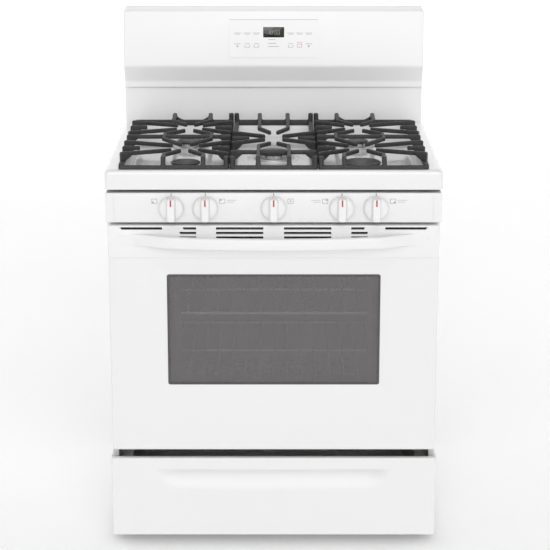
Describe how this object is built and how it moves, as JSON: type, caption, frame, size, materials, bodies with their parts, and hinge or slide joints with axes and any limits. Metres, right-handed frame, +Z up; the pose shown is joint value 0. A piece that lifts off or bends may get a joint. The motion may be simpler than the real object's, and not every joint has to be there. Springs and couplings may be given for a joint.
{
  "type": "freestanding gas range",
  "caption": "White freestanding gas range with cast grates over a sunk cooktop, control knobs, a windowed drop-down oven door, a storage drawer and a raised backguard.",
  "frame": {"origin": "on the floor, under the middle of the outer box", "axes": "+X right seen from the front, the front faces -Y, +Z up"},
  "size_m": [0.762, 0.719, 1.2],
  "materials": {
    "white_paint": "gloss enamel paint",
    "white_enamel": "gloss porcelain enamel",
    "white_plastic": "moulded, gloss",
    "cast_iron": "matt black enamel on cast iron",
    "black_enamel": "satin black enamel",
    "aluminium": "cast, bead blasted",
    "galvanised_steel": "spangled zinc",
    "steel": "plain turned",
    "brass": "machined",
    "chrome_wire": "bright plated wire",
    "oven_enamel": "speckled blue-black enamel",
    "dark_paint": "matt",
    "black_plastic": "moulded",
    "circuit_plastic": "board and housing",
    "glass_fibre": "needled blanket",
    "braided_seal": "braided",
    "clear_glass": "clear",
    "tinted_glass": "dark dotted glass",
    "display_glass": "black gloss",
    "ceramic": "glazed",
    "printed_film": "satin film"
  },
  "bodies": {
    "cabinet": {"base_frame": "dark_paint", "levelling_feet": "black_plastic", "side_panels": "white_paint", "rear_cover": "galvanised_steel", "cover_screws": "galvanised_steel", "oven_liner": "oven_enamel", "oven_bottom_plate": "oven_enamel", "oven_insulation": "glass_fibre", "oven_front_frame": "oven_enamel", "door_gasket": "braided_seal", "oven_burners": "galvanised_steel", "oven_lamp": "clear_glass", "oven_sensor": "galvanised_steel", "flue_duct": "galvanised_steel", "cooktop": "white_enamel", "burner_heads": "aluminium", "igniters": "ceramic", "gas_manifold": "galvanised_steel", "burner_valves": "brass", "burner_tubes": "aluminium", "pressure_regulator": "aluminium", "control_panel": "white_paint", "backguard_shell": "white_paint", "backguard_rear": "galvanised_steel", "control_overlay": "printed_film", "display_window": "display_glass", "control_electronics": "circuit_plastic", "power_inlet": "black_plastic", "hinge_receivers": "galvanised_steel", "drawer_guides": "galvanised_steel"},
    "door": {"door_outer_panel": "white_paint", "door_window": "tinted_glass", "door_inner_glass": "clear_glass", "door_liner": "oven_enamel", "door_insulation": "glass_fibre", "door_trim": "white_plastic", "door_handle": "white_plastic", "door_hinges": "galvanised_steel"},
    "drawer": {"drawer_front": "white_paint", "drawer_box": "galvanised_steel"},
    "upper_rack": {"rack_upper": "chrome_wire"},
    "lower_rack": {"rack_lower": "chrome_wire"},
    "left_grate": {"grate_left": "cast_iron"},
    "middle_grate": {"grate_centre": "cast_iron"},
    "right_grate": {"grate_right": "cast_iron"},
    "cap_front_left": {"burner_cap_front_left": "black_enamel"},
    "cap_rear_left": {"burner_cap_rear_left": "black_enamel"},
    "cap_centre": {"burner_cap_centre": "black_enamel"},
    "cap_rear_right": {"burner_cap_rear_right": "black_enamel"},
    "cap_front_right": {"burner_cap_front_right": "black_enamel"},
    "valve_front_left": {"valve_stem_front_left": "steel"},
    "control_front_left": {"knob_front_left": "white_plastic"},
    "valve_rear_left": {"valve_stem_rear_left": "steel"},
    "control_rear_left": {"knob_rear_left": "white_plastic"},
    "valve_centre": {"valve_stem_centre": "steel"},
    "control_centre": {"knob_centre": "white_plastic"},
    "valve_rear_right": {"valve_stem_rear_right": "steel"},
    "control_rear_right": {"knob_rear_right": "white_plastic"},
    "valve_front_right": {"valve_stem_front_right": "steel"},
    "control_front_right": {"knob_front_right": "white_plastic"}
  },
  "joints": [
    {"name": "door_hinge", "type": "hinge", "parent": "cabinet", "child": "door", "pos_m": [0, -0.279, 0.264], "axis": [1, 0, 0], "range_deg": [0, 90], "stiffness_Nm_per_rad": 10.8, "springref_deg": -16.04},
    {"name": "drawer_slide", "type": "slide", "parent": "cabinet", "child": "drawer", "axis": [0, -1, 0], "range_m": [0, 0.38]},
    {"name": "upper_rack_slide", "type": "slide", "parent": "cabinet", "child": "upper_rack", "axis": [0, -1, 0], "range_m": [0, 0.035]},
    {"name": "lower_rack_slide", "type": "slide", "parent": "cabinet", "child": "lower_rack", "axis": [0, -1, 0], "range_m": [0, 0.035]},
    {"name": "left_grate_lift", "type": "slide", "parent": "cabinet", "child": "left_grate", "axis": [0, 0, 1], "range_m": [0, 0.08]},
    {"name": "middle_grate_lift", "type": "slide", "parent": "cabinet", "child": "middle_grate", "axis": [0, 0, 1], "range_m": [0, 0.08]},
    {"name": "right_grate_lift", "type": "slide", "parent": "cabinet", "child": "right_grate", "axis": [0, 0, 1], "range_m": [0, 0.08]},
    {"name": "cap_front_left_lift", "type": "slide", "parent": "cabinet", "child": "cap_front_left", "axis": [0, 0, 1], "range_m": [0, 0.005]},
    {"name": "cap_rear_left_lift", "type": "slide", "parent": "cabinet", "child": "cap_rear_left", "axis": [0, 0, 1], "range_m": [0, 0.005]},
    {"name": "cap_centre_lift", "type": "slide", "parent": "cabinet", "child": "cap_centre", "axis": [0, 0, 1], "range_m": [0, 0.005]},
    {"name": "cap_rear_right_lift", "type": "slide", "parent": "cabinet", "child": "cap_rear_right", "axis": [0, 0, 1], "range_m": [0, 0.005]},
    {"name": "cap_front_right_lift", "type": "slide", "parent": "cabinet", "child": "cap_front_right", "axis": [0, 0, 1], "range_m": [0, 0.005]},
    {"name": "turn_front_left", "type": "hinge", "parent": "cabinet", "child": "valve_front_left", "pos_m": [-0.231, -0.29, 0.827], "axis": [0, -1, 0], "range_deg": [0, 220]},
    {"name": "push_front_left", "type": "slide", "parent": "valve_front_left", "child": "control_front_left", "axis": [0, 1, 0], "range_m": [0, 0.003], "stiffness_N_per_m": 2000, "springref_m": -0.002},
    {"name": "turn_rear_left", "type": "hinge", "parent": "cabinet", "child": "valve_rear_left", "pos_m": [-0.154, -0.29, 0.827], "axis": [0, -1, 0], "range_deg": [0, 220]},
    {"name": "push_rear_left", "type": "slide", "parent": "valve_rear_left", "child": "control_rear_left", "axis": [0, 1, 0], "range_m": [0, 0.003], "stiffness_N_per_m": 2000, "springref_m": -0.002},
    {"name": "turn_centre", "type": "hinge", "parent": "cabinet", "child": "valve_centre", "pos_m": [0, -0.29, 0.827], "axis": [0, -1, 0], "range_deg": [0, 220]},
    {"name": "push_centre", "type": "slide", "parent": "valve_centre", "child": "control_centre", "axis": [0, 1, 0], "range_m": [0, 0.003], "stiffness_N_per_m": 2000, "springref_m": -0.002},
    {"name": "turn_rear_right", "type": "hinge", "parent": "cabinet", "child": "valve_rear_right", "pos_m": [0.154, -0.29, 0.827], "axis": [0, -1, 0], "range_deg": [0, 220]},
    {"name": "push_rear_right", "type": "slide", "parent": "valve_rear_right", "child": "control_rear_right", "axis": [0, 1, 0], "range_m": [0, 0.003], "stiffness_N_per_m": 2000, "springref_m": -0.002},
    {"name": "turn_front_right", "type": "hinge", "parent": "cabinet", "child": "valve_front_right", "pos_m": [0.231, -0.29, 0.827], "axis": [0, -1, 0], "range_deg": [0, 220]},
    {"name": "push_front_right", "type": "slide", "parent": "valve_front_right", "child": "control_front_right", "axis": [0, 1, 0], "range_m": [0, 0.003], "stiffness_N_per_m": 2000, "springref_m": -0.002}
  ]
}
